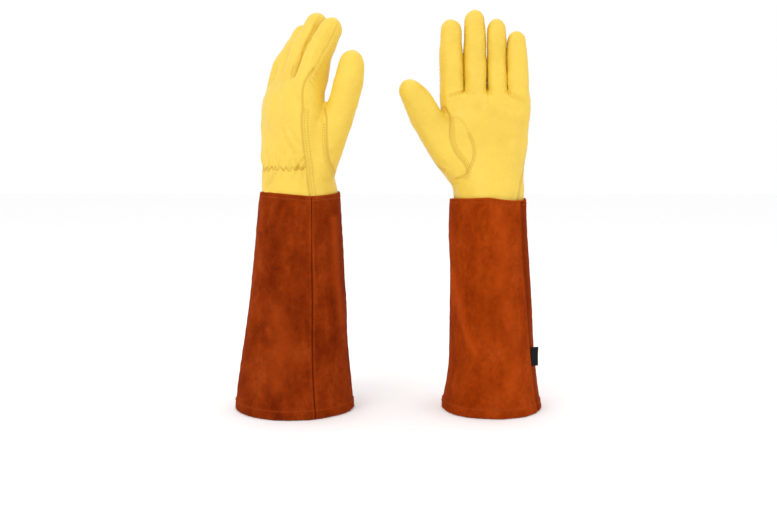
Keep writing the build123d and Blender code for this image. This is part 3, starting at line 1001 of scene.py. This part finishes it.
                # painted shade in the strip's seam
                dark += shown * 0.26 * bell(gap, 1.0)
            if name == "index":
                line = self.strip_edges(name, place)[0]
                off = np.radians((angle - line + 180) % 360 - 180) * radius
                patch = ease(off, -1, 2) * (1 - ease(off, 3, 8))
                patch *= ease(place, 2, 8) * (1 - ease(place, 26, 34))
                wave = np.sin(2 * math.pi * (place + 0.35 * off) / 4.3 + np.sin(place / 3.0))
                height += mine * patch * 0.32 * wave
                # painted shade in the troughs of the index finger's puckers
                dark += mine * patch * 0.18 * (wave < -0.5)
        for left, right in zip(FINGERS, FINGERS[1:]):
            middle = (self.fingers[left]["spread_base"][0] + self.fingers[right]["spread_base"][0]) / 2
            line = [(-middle + x, z) for x, z in WEB_SEAM]
            gap, _ = self.distance(self.laid(FROM_BACK, line)[0])
            height -= 0.45 * bell(gap, 1.0)
            # painted shade in the web's seam
            dark += 0.3 * bell(gap, 1.1)
        return height, dark

    def on_finger(self, points, name):
        """Place along a finger, angle about it in degrees (thumb side 180, back 90) and radius."""
        finger = self.fingers[name]
        arm = points - finger["spread_base"]
        place = arm @ finger["along"]
        length = finger["lower"] + finger["upper"]
        side = arm @ finger["across"]
        back = arm[:, 1] + FINGER_BOW * (np.clip(place, 0, None) / length) ** 2
        return place, np.degrees(np.arctan2(back, side)), np.hypot(side, back)

    def strip_edges(self, name, place):
        """Angles of the side strips' seams: thumb side back, thumb side front, far side back, front."""
        near = (180.0 - SIDE_STRIP, SIDE_STRIP - 180.0)
        far = (SIDE_STRIP, -SIDE_STRIP)
        if name == "index":
            near = (through(INDEX_SEAM, np.clip(place, 0, 90))[:, 0], None)
        if name == "little":
            far = (4.0, None)
        return (*near, *far)

    # Pieces
    def beyond(self, points, first, second):
        """Which side of the straight line between two seams a point is on, at its own height."""
        ends = []
        for line in (first, second):
            order = np.argsort(line[:, 2])
            ends.append(np.stack([np.interp(points[:, 2], line[order, 2], line[order, k])
                                  for k in range(2)], 1))
        chord, arm = ends[1] - ends[0], points[:, :2] - ends[0]
        return chord[:, 0] * arm[:, 1] - chord[:, 1] * arm[:, 0]

    def labels(self):
        """The name of the piece that each face belongs to."""
        points = self.rest[self.skin.faces].mean(1)
        lines = {name: line for name, (line, _) in self.lines.items()}
        label = np.where(self.beyond(points, lines["side_seam"], lines["little_seam"]) > 0,
                         "back", "palm").astype(object)

        # The leaf of leather beside the thumb's seam
        patch = lines["patch_seam"][np.argsort(lines["patch_seam"][:, 2])]
        groove = lines["palm_groove"][np.argsort(lines["palm_groove"][:, 2])]
        inside = points[:, 0] < np.interp(points[:, 2], patch[:, 2], patch[:, 0])
        inside &= points[:, 0] > np.interp(points[:, 2], groove[:, 2], groove[:, 0])
        inside &= (points[:, 2] > 265) & (points[:, 2] < patch[-1, 2]) & (points[:, 1] < -8)
        label[inside & (label == "palm")] = "patch"

        # Thumb
        low, top = groove[0, 2], min(groove[-1, 2], THUMB_FREE)
        thumb = self.beyond(points, lines["side_groove"], lines["palm_groove"]) < 0
        thumb &= (points[:, 2] > low) & (points[:, 2] <= top)
        thumb |= (points[:, 2] > top) & (self.thumbness(points) > 0.5)
        place = (points - self.thumb["base"]) @ self.thumb["way"]
        label[thumb] = "gusset"
        label[thumb & (place > THUMB_CUT)] = "thumb_lower"
        label[thumb & (place > self.thumb["lower"] + THUMB_TIP_CUT)] = "thumb_tip"

        # Fingers
        nearest = self.shares(points).argmax(1)
        for number, name in enumerate(FINGERS):
            finger = self.fingers[name]
            place, angle, _ = self.on_finger(points, name)
            level = place - WEB_SLOPE * (points[:, 1] - finger["base"][1])
            mine = (nearest == number) & ~thumb & (level > FINGER_CUT) & (place > 0)
            edges = self.strip_edges(name, place)
            near_front = edges[1] if edges[1] is not None else SIDE_STRIP - 180.0
            far_front = edges[3] if edges[3] is not None else -SIDE_STRIP
            back = (angle > edges[2]) & (angle < edges[0])
            front = (angle > near_front) & (angle < far_front)
            tip = place > finger["lower"] + TIP_CUT
            label[mine] = f"{name}_side"
            label[mine & back] = f"{name}_lower_back"
            label[mine & front] = f"{name}_lower_front"
            label[mine & tip] = f"{name}_tip_front"
            label[mine & tip & back] = f"{name}_tip_back"
        label[points[:, 2] < OPEN_BELOW] = "none"
        return label

    def follow(self, piece, label):
        """Bakes a piece's place into its mesh, or for the gusset attaches it to the hand's body."""
        body = f"{self.name}_"
        if label in ("palm", "back", "patch"):
            low, high = (self.world(np.array([*self.shape["wrist"], z])) for z in WRIST_FOLD)
            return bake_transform(piece)
        if label == "gusset":
            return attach(piece, body + "hand")
        if label in ("thumb_lower", "thumb_tip"):
            hinge, way, fold, pair = {
                "thumb_lower": (self.thumb["base"], self.thumb["way"], THUMB_FOLD,
                                ("hand", "thumb_lower")),
                "thumb_tip": (self.thumb["joint"], unit(self.thumb["tip"] - self.thumb["base"]),
                              THUMB_MIDDLE_FOLD, ("thumb_lower", "thumb_tip")),
            }[label]
        else:
            name, part = label.split("_", 1)
            finger = self.fingers[name]
            if part.startswith("tip"):
                hinge, way, fold = finger["middle"], finger["way"], MIDDLE_FOLD
                pair = (f"{name}_lower", f"{name}_tip")
            else:
                hinge, pair = finger["base"], ("hand", f"{name}_lower")
                first, short = self.shape["knuckle_fold"]
                fold = (first, finger["lower"] - short)
                way = unit(np.array([0, -WEB_SLOPE, 1.0]))
        low, high = (self.world(hinge + way * reach) for reach in fold)
        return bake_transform(piece)

    def straighten(self, label):
        """Evens out the edges between pieces."""
        faces = self.skin.faces
        sides = sides_of(faces)
        owner = np.tile(np.arange(len(faces)), 4)
        order = np.lexsort((sides.max(1), sides.min(1)))
        sides, owner = np.sort(sides[order], axis=1), owner[order]
        same = (sides[1:] == sides[:-1]).all(1)
        between = np.flatnonzero(same & (label[owner[1:]] != label[owner[:-1]]))
        pairs = sides[between]
        count = np.bincount(pairs.ravel(), minlength=len(self.skin.points))
        ends = count == 2
        for _ in range(4):
            points = self.skin.points
            total = np.zeros_like(points)
            for axis in range(3):
                total[:, axis] += np.bincount(pairs[:, 0], points[pairs[:, 1], axis], len(points))
                total[:, axis] += np.bincount(pairs[:, 1], points[pairs[:, 0], axis], len(points))
            mean = total[ends] / 2
            self.skin.points[ends] += 0.5 * (mean - points[ends])

    def build(self):
        self.sculpt()
        label = self.labels()
        self.straighten(label)
        outer = self.posed(self.skin.points)
        normals = self.skin.normals(outer)
        for name, (title, node) in PIECES.items():
            keep = label == name
            piece = self.shell(f"{self.name}_{title}", self.skin.faces[keep], outer, normals)
            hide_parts(f"{self.name}_{node}")
            self.follow(piece, name)
        self.stitches(label)

    def shell(self, name, faces, points, normals):
        """A closed piece of leather over some of the skin's faces."""
        used, corners = np.unique(faces, return_inverse=True)
        corners = corners.reshape(-1, 4)
        count = len(used)
        both = np.concatenate([points[used], points[used] - LEATHER * normals[used]])
        quads, walls = closed_sheet(corners, count)
        mesh = smoothed(quad_mesh(name, self.world(both), quads))
        turned = normals[used] @ self.turn.T
        corner_normals = np.concatenate([turned, -turned])[quads.ravel()].reshape(-1, 4, 3)
        a, b, c, d = (both[walls[:, k]] for k in range(4))
        flat = unit(np.cross(c - a, d - b))
        corner_normals[len(corners) * 2:] = (flat @ self.turn.T)[:, None, :]
        mesh.normals_split_custom_set(corner_normals.reshape(-1, 3).tolist())
        return made(name, mesh, np.tile(self.rest[used], (2, 1)), "leather", "yellow_leather",
                    np.tile(self.painted_shade[used], 2))

    def stitches(self, label):
        """The thread of the seams, one piece of it on each piece of leather."""
        tree = BVHTree.FromPolygons(self.skin.points.tolist(), self.skin.faces.tolist())
        rows = {}
        for line, normals in self.rows:
            line = spaced(np.column_stack([line, normals]), STITCH_PITCH / 2)
            hits = [tree.find_nearest(Vector(p[:3])) for p in line]
            names = np.array([label[hit[2]] for hit in hits], object)
            on_skin = np.array([[*hit[0], *hit[1]] for hit in hits])
            breaks = np.flatnonzero(names[1:] != names[:-1]) + 1
            for part in np.split(np.arange(len(line)), breaks):
                if len(part) > 5:
                    run = on_skin[part]
                    rows.setdefault(names[part[0]], []).append((run[:, :3], run[:, 3:], STITCH_PITCH))
        for name, lines in rows.items():
            points, faces = capsule_rows(lines, THREAD, gap=0.5)
            title = f"{self.name}_{PIECES[name][0]}_thread"
            mesh = smoothed(mesh_of(title, self.world(self.posed(points)), faces))
            self.follow(made(title, mesh, points, "leather_thread", "yellow_leather"), name)


# ---- cuffs
# A cuff's outline: height, centre x, centre y, width and depth. Heights along its top edge,
# how far the top dips at the thumb's seam, and the angles of its two seams at the top and at
# the hem. Ridges are soft folds seen from the front: their points, width and height.
CUFFS = {
    "glove_a": {
        "outline": [(0, -4.4, 0, 132.5, 128), (60, -3, 0, 118, 112), (125, .2, 0, 110.5, 101),
                    (190, 2.2, 0, 96.5, 93), (246, 4.2, 0, 88.5, 88.5)],
        "top": 243.5, "dip": 1.6, "dip_at": 292.0, "seams": ((290.0, 295.0), (98.0, 98.0)),
        "seed": 31,
        "ridges": [([(18, 236), (19.5, 190), (22.5, 150), (24, 125)], 1.6, 0.9),
                   ([(42, 215), (43.5, 180), (47, 130), (49, 100)], 4.5, 1.5),
                   ([(-38, 236), (-36, 222), (-38, 205)], 4.0, 1.3),
                   ([(-20, 120), (-14, 80), (-18, 35)], 11.0, 1.1),
                   ([(6, 225), (2, 180), (5, 140)], 8.0, -0.9),
                   ([(-44, 170), (-46, 120), (-42, 80)], 8.0, -0.9)],
    },
    "glove_b": {
        "outline": [(0, 9, 0, 113, 118), (60, 8, 0, 98, 108), (130, 7, 0, 90, 98),
                    (190, 5, 0, 86, 90), (238, 4, 0, 83.6, 86)],
        "top": 236.0, "dip": -3.6, "dip_at": 265.0, "seams": ((159.0, 159.0), (-44.0, -31.0)),
        "seed": 47,
        "ridges": [([(-38, 158), (-31, 123), (-24, 92), (-14, 72)], 4.5, 1.3),
                   ([(10, 225), (15, 185), (12, 145)], 9.0, 0.9),
                   ([(-22, 225), (-26, 190), (-22, 160)], 8.0, -0.8),
                   ([(20, 120), (28, 75), (26, 30)], 10.0, 1.0),
                   ([(-8, 60), (-12, 38), (-8, 20)], 9.0, -0.9)],
    },
}
HEM = 11.5                        # height of the doubled hem
HEM_EXTRA = 0.8                   # how much thicker it is, on each face
HEM_ROUND = 1.9
THREAD_ABOVE = HEM - 1.8          # height of the hem's stitches
THREAD_BELOW = 5.0                # how far below the top edge its stitches are
SEAM_ROLL = 1.7                   # the edges roll in this much beside a cuff's seam
CUFF_RADIUS = 52                  # about the middle of both cuffs, for distances round them
CUFF_STEP = 1.3
ROWS_TOP = 236.0                  # the rows of points are laid out for a cuff of this height
HEM_EDGE_ROWS = np.array([0, .25, .6, 1.0, 1.5, 2.1])       # closer rows round the hem's edge
TOP_EDGE_ROWS = (1.2, .6, .2, 0)                            # and below the top edge
SEAM_COLUMNS = np.array([0, .1, .24, .42, .62, .82])        # beside a seam, as shares of its roll
CUFF_STITCH = 2.9
CUFF_THREAD = 0.8
TAG_TRIM = 3.2                    # the folded tag is this much shorter than its CAD solid


class Cuff:
    """The two suede panels of one glove's cuff."""

    def __init__(self, name, shape, place):
        self.name, self.shape, self.place = name, shape, place

    def top(self, angle):
        off = (angle - self.shape["dip_at"] + 180) % 360 - 180
        slope = 1.2 * np.sin(np.radians(angle) * 2 + 0.7)
        return self.shape["top"] + slope - self.shape["dip"] * np.exp(-np.abs(off / 32.0) ** 1.4)

    def wall(self, angle, height):
        """Points of the smooth wall and its outward directions."""
        x, y, width, depth = through(self.shape["outline"], height).T
        turn = np.radians(angle)
        way = np.stack([np.cos(turn), np.sin(turn), np.zeros_like(turn)], 1)
        reach = ((way[:, 0] / (width / 2)) ** 2 + (way[:, 1] / (depth / 2)) ** 2) ** -0.5
        points = way * reach[:, None] + np.stack([x, y, height], 1)
        out = unit(np.stack([way[:, 0] / (width / 2) ** 2, way[:, 1] / (depth / 2) ** 2,
                             np.zeros_like(turn)], 1))
        return points, out

    def relief(self, points, out):
        """How far the suede stands out from the smooth wall, softly folded and a bit uneven."""
        seed, tall = self.shape["seed"], points * (1, 1, 0.38)
        free = ease(points[:, 2], -5, 30) * 0.5 + 0.5
        high = free * ripple(tall, seed, 62) + 0.42 * ripple(tall, seed + 1, 27)
        high += 0.17 * ripple(points, seed + 2, 11)
        ridges = np.zeros(len(points))
        for line, width, height in self.shape["ridges"]:
            line = smooth_line(line, 2.0)
            gap = np.hypot(points[:, None, 0] - line[None, :, 0],
                           points[:, None, 2] - line[None, :, 1]).min(1)
            ridges += height * bell(gap, width) * ease(-out[:, 1], 0.0, 0.35)
        return high + ridges, np.clip(ridges, 0, 1.5)

    def panel(self, title, node, first, last, tuck):
        """One panel between two seams, each given by its angle at the top and at the hem.

        Its first edge is tucked in under the other panel's by this much.
        """
        hem_rows = np.concatenate([HEM_EDGE_ROWS, np.linspace(2.8, 13.6, 11)])
        wall_rows = np.linspace(15, 234, int(219 / CUFF_STEP))
        rows = np.concatenate([hem_rows, wall_rows, np.zeros(len(TOP_EDGE_ROWS))])
        count = int((last[0] - first[0]) * math.pi / 180 * CUFF_RADIUS / CUFF_STEP)
        across = np.linspace(0, 1, count + 1)
        roll = SEAM_COLUMNS * SEAM_ROLL / CUFF_RADIUS
        roll = roll / math.radians(last[0] - first[0])
        across = np.concatenate([roll, across[2:-2], 1 - roll[::-1]])
        share = np.tile(across, len(rows))
        number = np.repeat(np.arange(len(rows)), len(across))
        height = rows[number]
        down = 1 - height / self.shape["top"]
        low = first[0] + (first[1] - first[0]) * down
        high = last[0] + (last[1] - last[0]) * down
        angle = low + (high - low) * share
        top = self.top(angle)
        height = height * (top / ROWS_TOP)
        for row, below in enumerate(TOP_EDGE_ROWS, len(rows) - len(TOP_EDGE_ROWS)):
            height[number == row] = top[number == row] - below

        smooth, out = self.wall(angle, height)
        lift, ridges = self.relief(smooth, out)

        # What is done to it: tucked, hemmed, rounded at its edges, rolled and pulled in by thread
        wide = np.radians(high - low) * CUFF_RADIUS
        from_first = share * wide
        lift -= tuck * bell(from_first, 6.0)
        hem = 1 - ease(height, HEM - 0.8, HEM + 0.9)
        bottom = np.clip(HEM_ROUND - height, 0, HEM_ROUND)
        bottom = HEM_ROUND - np.sqrt(HEM_ROUND ** 2 - bottom ** 2)
        edge = np.clip(1 - (top - height) / 1.2, 0, 1) ** 2 * 0.5
        gap = np.minimum(share, 1 - share) * wide
        rolled = np.clip(SEAM_ROLL - gap, 0, SEAM_ROLL)
        rolled = (SEAM_ROLL - np.sqrt(SEAM_ROLL ** 2 - rolled ** 2)) * 0.85
        puff = 0.35 * bell(gap - 3.2, 2.0) * ease(height, 8, 20)
        rows_of_thread = bell(height - THREAD_ABOVE, 0.8) + bell(top - height - THREAD_BELOW, 0.8)
        outer = lift + hem * HEM_EXTRA + puff - rolled - 0.3 * rows_of_thread - bottom - edge
        outer += 0.35 * hem * ripple(smooth, self.shape["seed"] + 5, 9)
        inner = lift - SUEDE - hem * HEM_EXTRA * 0.7 - 0.5 * rolled + bottom * 0.6 + edge * 0.4
        inner = np.minimum(inner, outer - 0.55)
        # Lighter where the suede is worn at its edges and by the thread, with painted highlight along the
        # seam rolls and on the ridges.
        worn = 0.2 * bell(gap - 1.6, 1.2) + 0.25 * (bottom > 0.2) + 0.25 * rows_of_thread
        worn += 0.45 * bell(top - height, 1.3) + 0.28 * ridges ** 1.5
        # Painted shade in the seams and on the back panel's strip beside its tucked edge.
        shade = np.clip(0.7 * bell(gap, 0.9) + 0.52 * tuck * bell(from_first, 18.0), 0, 1)

        quads, _ = closed_sheet(grid(len(rows), len(across)), len(share))
        both = np.concatenate([smooth + out * outer[:, None], smooth + out * inner[:, None]])
        both += (*self.place[:2], 0)
        mesh = smoothed(quad_mesh(title, both * MM, quads))
        piece = made(title, mesh, np.tile(smooth, (2, 1)), f"{self.name}_suede", "rust_suede",
                     np.tile(shade, 2), worn=np.clip(np.tile(worn, 2), 0, 1))
        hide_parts(node)
        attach(piece, f"{self.name}_gauntlet")
        self.threads(title, first, last)

    def threads(self, title, first, last):
        """Stitches above the hem and below the top edge."""
        rows = []
        for at_top in (False, True):
            down = 0.03 if at_top else 0.96
            low, high = (side[0] + (side[1] - side[0]) * down for side in (first, last))
            angle = np.arange(low + 3.5, high - 3.5, 0.9)
            height = self.top(angle) - THREAD_BELOW if at_top else np.full(len(angle), THREAD_ABOVE)
            smooth, out = self.wall(angle, height)
            lift = self.relief(smooth, out)[0] - 0.05
            lift += 0 if at_top else HEM_EXTRA
            rows.append((smooth + out * lift[:, None], out, CUFF_STITCH))
        points, faces = capsule_rows(rows, CUFF_THREAD, gap=0.42)
        moved = points + (*self.place[:2], 0)
        mesh = smoothed(mesh_of(title + "_thread", moved * MM, faces))
        piece = made(title + "_thread", mesh, points, "suede_thread", "rust_suede")
        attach(piece, f"{self.name}_gauntlet")

    def build(self):
        thumb, little = self.shape["seams"]
        around = tuple(angle + 360 for angle in little)
        front = ("front", thumb, around, 0.0)
        if little[0] < 0:
            panels = (front, ("back", little, thumb, 1.3))
        else:
            panels = (("back", little, thumb, 0.8), front)
        for side, *edges in panels:
            self.panel(f"{self.name}_cuff_{side}_suede", f"{self.name}_gauntlet_{side}", *edges)


# ---- small parts
def elastic(hand):
    """The elastic sewn inside the back of the wrist."""
    angles = np.linspace(GATHER_ARC[0] - 4, GATHER_ARC[1] + 4, 160)
    levels = np.linspace(-2.4, 4, 13)
    rings = []
    for level in levels:
        points, normals = hand.round_wrist(angles, np.full(len(angles), GATHER_HEIGHT + level))
        out = unit(normals * (1, 1, 0))
        ribs = 0.12 * math.cos(level * 2 * math.pi / 1.14)
        rings.append(points - out * (LEATHER + 0.45 - ribs))
    outer = np.array(rings)
    inward = unit(outer * (1, 1, 0) - outer.mean(axis=(0, 1)) * (1, 1, 0))
    both = np.concatenate([outer.reshape(-1, 3), (outer - inward * 0.9).reshape(-1, 3)])
    # Rows that go round this way need their faces turned to look out
    quads, _ = closed_sheet(grid(*outer.shape[:2])[:, [0, 3, 2, 1]], len(both) // 2)
    name = f"{hand.name}_gathering_elastic"
    mesh = smoothed(quad_mesh(name, hand.world(both), quads))
    piece = made(name, mesh, both, "elastic", "elastic")
    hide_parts(f"{hand.name}_wrist_elastic")
    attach(piece, f"{hand.name}_hand")


def tag():
    """The plain black tag: a short tape folded in two, its ends in the cuff's seam."""
    low, high = (np.array(corner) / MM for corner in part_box("glove_b_blank_tag"))
    node = frame["nodes"]["glove_b_blank_tag"]
    corners = np.array([v.co for v in node.data.vertices]) / MM
    middle = (low + high) / 2
    along = unit(np.linalg.svd((corners - middle)[:, :2])[2][0])
    along = np.array([abs(along[0]), along[1] * math.copysign(1, along[0]), 0])
    through_it = np.array([-along[1], along[0], 0])
    reach = np.abs((corners - middle) @ along).max()
    fold, gap = 0.95, 0.28
    angle = np.linspace(-math.pi / 2, math.pi / 2, 9)
    end = reach - fold - TAG_TRIM
    outside = [(-reach, -0.5)] + [(end + fold * math.cos(a), fold * math.sin(a)) for a in angle]
    outside += [(-reach, 0.5)]
    inside = [(-reach, gap / 5)] + [(end + gap * math.cos(a), gap * math.sin(a)) for a in angle[::-1]]
    inside += [(-reach, -gap / 5)]
    outline = np.array(outside + inside)
    rings = []
    for height in np.linspace(low[2], high[2], 15):
        sway = 0.25 * math.sin(height / 3.1)
        ring = middle * (1, 1, 0) + outline[:, :1] * along + (outline[:, 1:] + sway) * through_it
        rings.append(ring + (0, 0, height))
    points, faces = lofted(rings)
    mesh = mesh_of("glove_b_folded_tag", points * MM, faces)
    piece = made("glove_b_folded_tag", mesh, points, "black_tape", "black_tape")
    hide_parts("glove_b_blank_tag")
    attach(piece, "glove_b_gauntlet")


for glove, shape in GLOVES.items():
    hand = Hand(glove, shape)
    hand.build()
    elastic(hand)
    Cuff(glove, CUFFS[glove], hand.place).build()
tag()


# ---- studio
CAMERA_PLACE = (0.0, -1.1, 0.275)
CAMERA_DOWN = 5.58                # degrees that it looks down
CAMERA_LENS = 45.5
AIM = (0, 0, 0.22)                # what the soft boxes face
# Soft boxes: place, size and power
LIGHTS = [((-1.0, -1.5, 1.6), 1.4, 12.5), ((1.5, -1.1, 0.9), 1.3, 3), ((0.0, 0.4, 1.9), 1.2, 4)]
scene = bpy.context.scene
scene.view_settings.view_transform = "Standard"

camera = bpy.data.objects.new("camera", bpy.data.cameras.new("camera"))
camera.location = CAMERA_PLACE
camera.rotation_euler = (math.radians(90 - CAMERA_DOWN), 0, 0)
camera.data.lens = CAMERA_LENS
scene.collection.objects.link(camera)
scene.camera = camera

floor_points = [(-8, -8, 0), (8, -8, 0), (8, 8, 0), (-8, 8, 0)]
paper = bpy.data.materials.new("pale paper")
paper.use_nodes = True
paper.node_tree.nodes["Principled BSDF"].inputs["Base Color"].default_value = (0.98, 0.98, 0.98, 1)
paper.node_tree.nodes["Principled BSDF"].inputs["Roughness"].default_value = 0.9
floor = shown("floor", mesh_of("floor", floor_points, [(0, 1, 2, 3)]), paper)
floor.location.z = CAD_BOX[0][2] - 0.0005

world = bpy.data.worlds.new("studio")
world.use_nodes = True
world.node_tree.nodes["Background"].inputs["Color"].default_value = (1, 1, 1, 1)
world.node_tree.nodes["Background"].inputs["Strength"].default_value = 1.0
scene.world = world

for number, (place, size, power) in enumerate(LIGHTS):
    light = bpy.data.lights.new(f"soft_{number}", "AREA")
    light.size, light.energy = size, power
    lamp = bpy.data.objects.new(f"soft_{number}", light)
    lamp.location = place
    lamp.rotation_euler = (Vector(AIM) - Vector(place)).to_track_quat("-Z", "Y").to_euler()
    scene.collection.objects.link(lamp)
